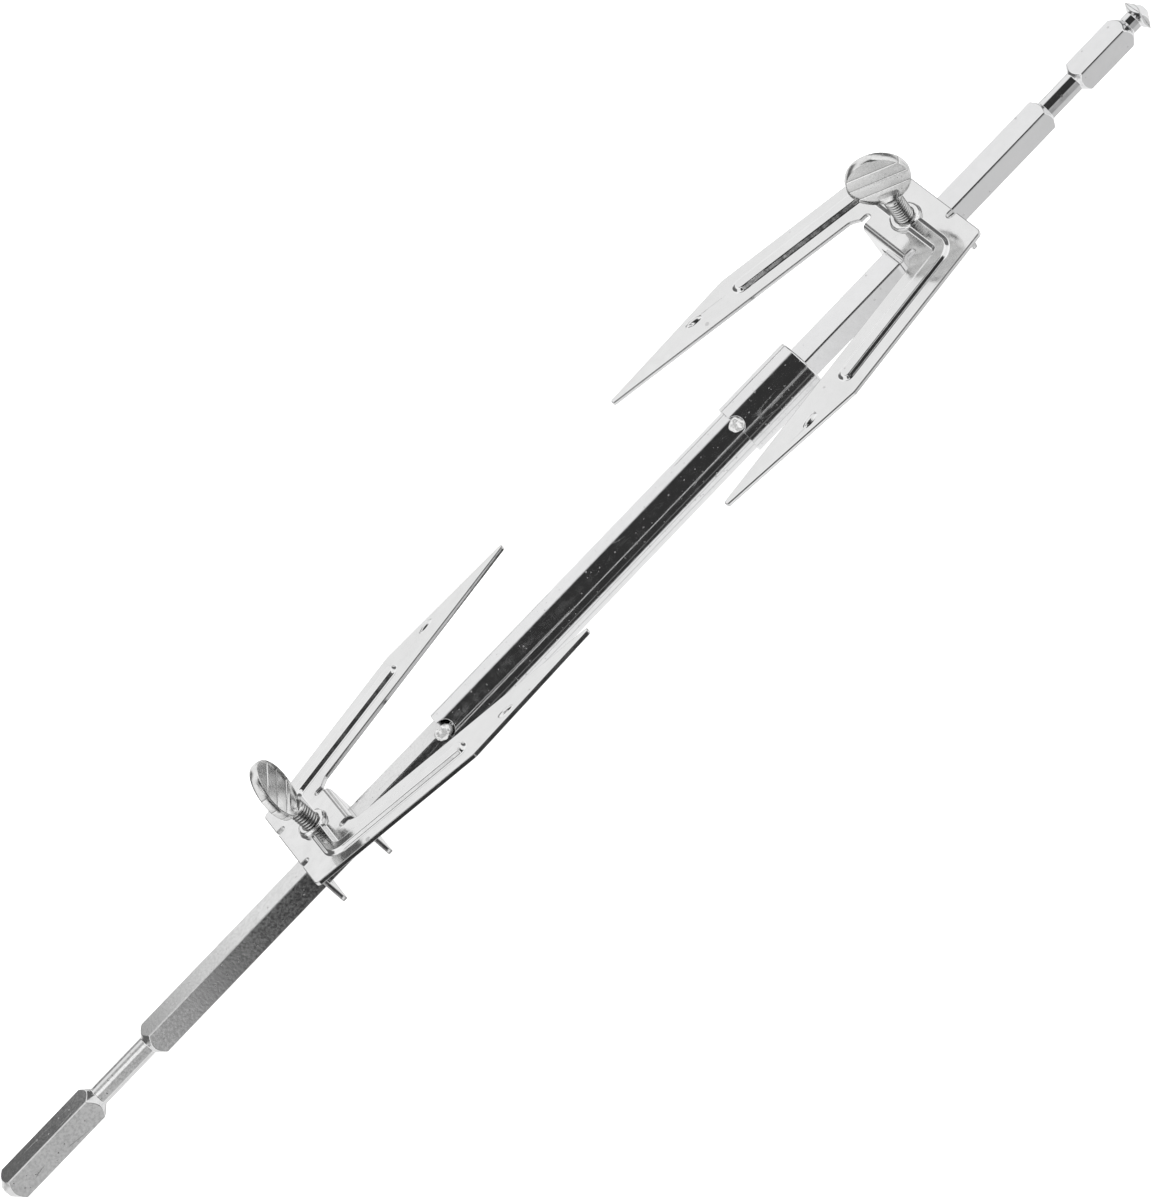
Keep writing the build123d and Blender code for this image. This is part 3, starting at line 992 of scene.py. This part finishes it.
def pale_wall(tree, stage, degrees, across, height):
    """The wall, ceiling and ground that most faces mirror, with a few darker places in them."""
    wide = calc(tree, "ABSOLUTE", across)
    doorway = product(tree, ramp(tree, degrees, 140.0, 155.0), ramp(tree, across, -0.1, -0.165, 0.0, 0.85))
    carpet = product(
        tree, ramp(tree, degrees, 0.0, -20.0), ramp(tree, across, 0.05, 0.11, 0.0, 0.3),
        ramp(tree, across, 0.42, 0.3),
    )
    near_seam = between(tree, degrees, (-38.0, -36.5), (-33.0, -34.5))
    far_seam = between(tree, degrees, (-66.0, -64.0), (-60.0, -62.0))
    seams = product(tree, calc(tree, "ADD", near_seam, far_seam), 0.4)
    flags = product(
        tree, between(tree, height, (-0.2, 0.0), (0.62, 0.4)), ramp(tree, wide, 0.36, 0.52, 0.0, 0.85),
    )
    shade = largest(tree, calc(tree, "ADD", doorway, carpet), flags, seams)
    return product(tree, stage.wall_light, calc(tree, "SUBTRACT", 1.0, shade))


def dark_side(tree, degrees, across):
    """The dark side that the tube and the rounded corners mirror, with its strip lights and windows."""
    glow, strip_light, left_light, right_light, core_light = 0.035, 0.6, 0.62, 0.45, 1.2
    wide = calc(tree, "ABSOLUTE", across)
    left_window = between(tree, across, (-0.1, -0.142), (-0.26, -0.2))
    right_window = product(
        tree, between(tree, across, (0.12, 0.145), (0.27, 0.22)), ramp(tree, degrees, 40.0, 32.0),
    )
    core = product(
        tree, between(tree, degrees, (44.0, 58.0), (96.0, 80.0)),
        between(tree, across, (-0.085, -0.1), (-0.28, -0.24)),
    )
    strip = product(tree, between(tree, degrees, (24.5, 26.0), (29.5, 28.0)), strip_light)
    low_strip = product(
        tree, between(tree, degrees, (-9.0, -7.0), (-3.0, -5.0)), ramp(tree, across, -0.09, -0.05, 0.0, 0.14),
    )
    lines = product(tree, calc(tree, "ADD", strip, low_strip), ramp(tree, wide, 0.3, 0.2))
    reach = ramp(tree, degrees, 48.0, 57.0, 0.0, 0.24)
    ends = ramp(tree, calc(tree, "ADD", wide, reach), 0.52, 0.62)
    return largest(
        tree, calc(tree, "ADD", lines, glow), product(tree, left_window, left_light),
        product(tree, right_window, right_light), product(tree, core, core_light), ends,
    )


def make_surroundings(stage):
    """A pale studio wall and ceiling behind the object and a dark side in front, seen only in the steel."""
    world = bpy.data.worlds.new("studio")
    bpy.context.scene.world = world
    world.use_nodes = True
    tree = world.node_tree
    tree.nodes.clear()
    ray = wire(tree, "ShaderNodeTexCoord").outputs["Generated"]
    away = wire(tree, "ShaderNodeSeparateXYZ", {0: ray}).outputs
    across, height = away[0], away[2]
    turn = calc(tree, "ARCTAN2", height, calc(tree, "MULTIPLY", away[1], -1.0))
    degrees = calc(tree, "MULTIPLY", turn, 180 / math.pi)
    sink = ramp(tree, across, -0.05, -0.1, 0.0, 12.0)
    low_edge = ramp(tree, calc(tree, "ADD", degrees, sink), -20.0, -28.0)
    open_side = largest(tree, ramp(tree, degrees, 106.0, 118.0), low_edge)
    wall = pale_wall(tree, stage, degrees, across, height)
    panel = dark_side(tree, degrees, across)
    light = wire(tree, "ShaderNodeMix", {0: open_side, 2: panel, 3: wall}, data_type="FLOAT").outputs[0]
    seen = wire(tree, "ShaderNodeLightPath").outputs["Is Camera Ray"]
    shown = wire(tree, "ShaderNodeBackground", {"Color": (1, 1, 1, 1), "Strength": 1.05})
    round_about = wire(tree, "ShaderNodeBackground", {"Color": (1, 1, 1, 1), "Strength": light})
    both = wire(tree, "ShaderNodeMixShader", {0: seen, 1: round_about.outputs[0], 2: shown.outputs[0]})
    wire(tree, "ShaderNodeOutputWorld", {"Surface": both.outputs[0]})


def make_lamp(stage):
    """A wide softbox overhead for the floor; the steel mirrors the studio walls instead."""
    lamp = bpy.data.lights.new("softbox", "AREA")
    lamp.shape = "SQUARE"
    lamp.size = 1.8
    lamp.energy = stage.lamp_power
    softbox = bpy.data.objects.new("softbox", lamp)
    softbox.location = (ROD_MIDDLE, 0.1, 1.4)
    softbox.visible_glossy = False
    bpy.context.scene.collection.objects.link(softbox)


def make_camera(stage):
    """The camera over the rod's middle, turned so that the rod lies corner to corner."""
    sideways, upwards = 0.15 * MM, -0.15 * MM
    middle = Vector((sum(c.x for c in CAD_BOX) / 2 + sideways, 0, 0))
    back = Vector((0, -math.cos(stage.elevation), math.sin(stage.elevation)))
    right = Vector((1, 0, 0))
    up = back.cross(right)
    turned_right = math.cos(stage.roll) * right - math.sin(stage.roll) * up
    turned_up = math.sin(stage.roll) * right + math.cos(stage.roll) * up
    lens = bpy.data.cameras.new("camera")
    lens.lens = stage.lens
    lens.sensor_width = 36.0
    lens.clip_start, lens.clip_end = 0.01, 50.0
    camera = bpy.data.objects.new("camera", lens)
    stand = Matrix((turned_right, turned_up, back)).transposed().to_4x4()
    stand.translation = middle + up * upwards + back * stage.distance
    camera.matrix_world = stand
    bpy.context.scene.collection.objects.link(camera)
    bpy.context.scene.camera = camera


class SPIT_OT_stage(bpy.types.Operator):
    """Set the pale floor, the soft light and the camera"""

    bl_idname = "spit.stage"
    bl_label = "Stage"

    def execute(self, context):
        stage = context.scene.spit_stage
        make_floor(stage)
        make_surroundings(stage)
        make_lamp(stage)
        make_camera(stage)
        context.scene.view_settings.view_transform = "Standard"
        return {"FINISHED"}


# ---------------------------------------------------------------- panel and start


class SPIT_PT_sidebar(bpy.types.Panel):
    """Settings and build steps of the spit"""

    bl_idname = "SPIT_PT_sidebar"
    bl_label = "Rotisserie spit"
    bl_space_type = "VIEW_3D"
    bl_region_type = "UI"
    bl_category = "Spit"

    def draw(self, context):
        for label, settings, operators in STEPS:
            box = self.layout.box()
            box.label(text=label)
            group = getattr(context.scene, settings)
            for name in group.bl_rna.properties.keys():
                if name not in ("rna_type", "name"):
                    box.prop(group, name)
            for operator in operators:
                box.operator(operator)


STEPS = (
    ("Finishes", "spit_finish", ()),
    ("Rod and forks", "spit_edges", ("spit.rod", "spit.forks")),
    ("Thumbscrews", "spit_screws", ("spit.thumbscrews",)),
    ("Welds", "spit_welds", ("spit.welds",)),
    ("Spring", "spit_spring", ("spit.spring",)),
    ("Stage", "spit_stage", ("spit.stage",)),
)
SETTINGS = {
    "spit_finish": SpitFinishSettings,
    "spit_edges": EdgeSettings,
    "spit_screws": ThumbscrewSettings,
    "spit_welds": WeldSettings,
    "spit_spring": SpringSettings,
    "spit_stage": StageSettings,
}
OPERATORS = (SPIT_OT_rod, SPIT_OT_forks, SPIT_OT_thumbscrews, SPIT_OT_welds, SPIT_OT_spring, SPIT_OT_stage)


def register():
    for kind in (*SETTINGS.values(), *OPERATORS, SPIT_PT_sidebar):
        bpy.utils.register_class(kind)
    for name, kind in SETTINGS.items():
        setattr(bpy.types.Scene, name, PointerProperty(type=kind))


def unregister():
    for name in SETTINGS:
        delattr(bpy.types.Scene, name)
    for kind in (SPIT_PT_sidebar, *reversed(OPERATORS), *reversed(SETTINGS.values())):
        bpy.utils.unregister_class(kind)


def main():
    """Builds the spit's finished pieces and its stage."""
    register()
    for _label, _settings, operators in STEPS:
        for operator in operators:
            getattr(bpy.ops.spit, operator.split(".")[1])()


if __name__ == "__main__":
    main()
